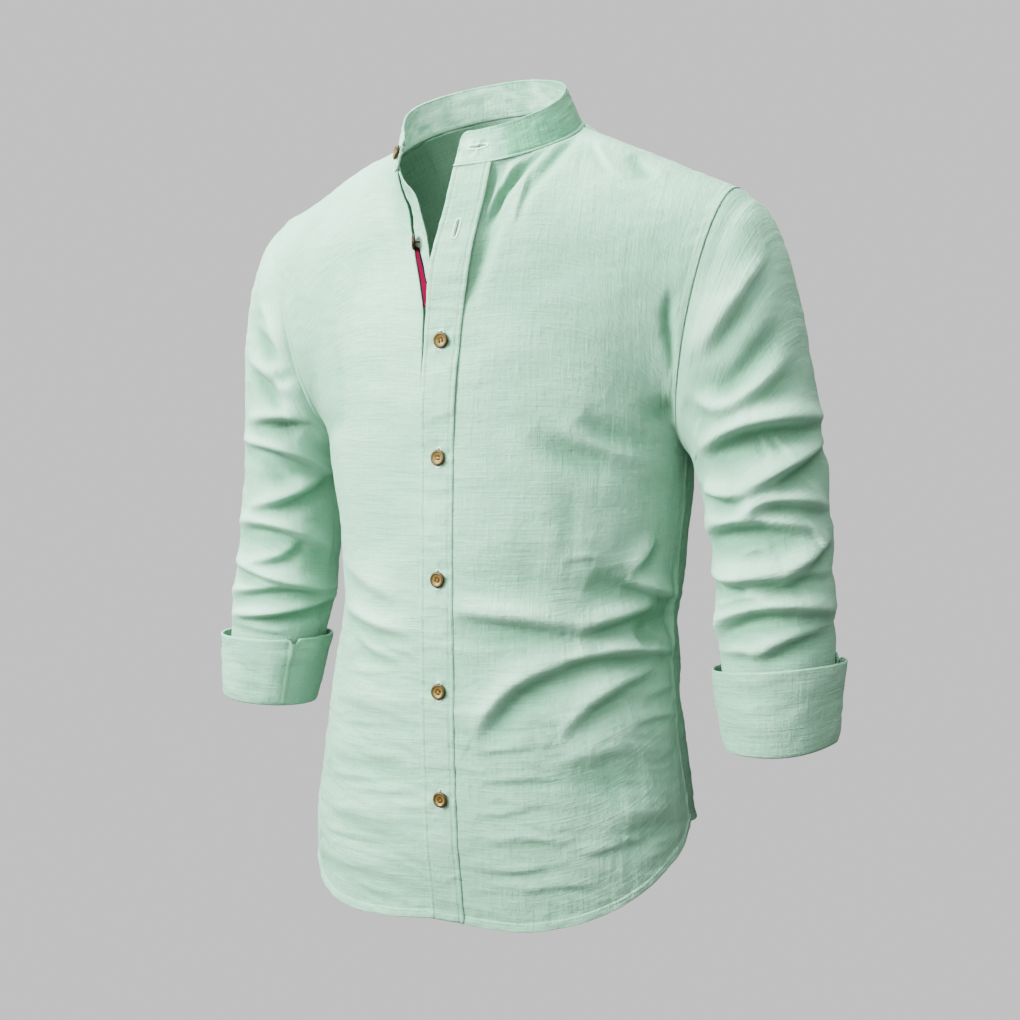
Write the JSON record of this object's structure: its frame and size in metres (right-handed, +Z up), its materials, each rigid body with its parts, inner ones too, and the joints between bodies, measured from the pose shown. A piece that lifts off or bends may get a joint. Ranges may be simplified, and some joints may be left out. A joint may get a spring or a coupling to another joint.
{
  "type": "band-collar shirt",
  "caption": "Long-sleeved button-front shirt in its worn form, with a stand band collar, open neck, turned-back cuffs and a curved shirt-tail hem.",
  "frame": {"origin": "midway between the shoulders, level with the sides of the neck, where the wearer's shoulders hold the shirt up", "axes": "+Z up; the wearer faces -Y, so the buttons are on the -Y side; the wearer's left is +X"},
  "size_m": [0.6395, 0.2537, 0.7743],
  "materials": {
    "cloth": "mint-green slub linen, plain weave, matt",
    "tape": "woven crimson tape with dark blue edges",
    "button": "polished brown wood or horn with a darker rim"
  },
  "bodies": {
    "root": {"back": "cloth", "front_left": "cloth", "front_right": "cloth", "buttonhole_placket": "cloth", "button_band": "cloth", "collar_band": "cloth", "sleeve_left": "cloth", "sleeve_right": "cloth", "cuff_left": "cloth", "cuff_right": "cloth", "contrast_tape": "tape", "front_button_1": "button", "front_button_2": "button", "front_button_3": "button", "front_button_4": "button", "front_button_5": "button", "chest_button": "button", "collar_button": "button"}
  },
  "joints": []
}
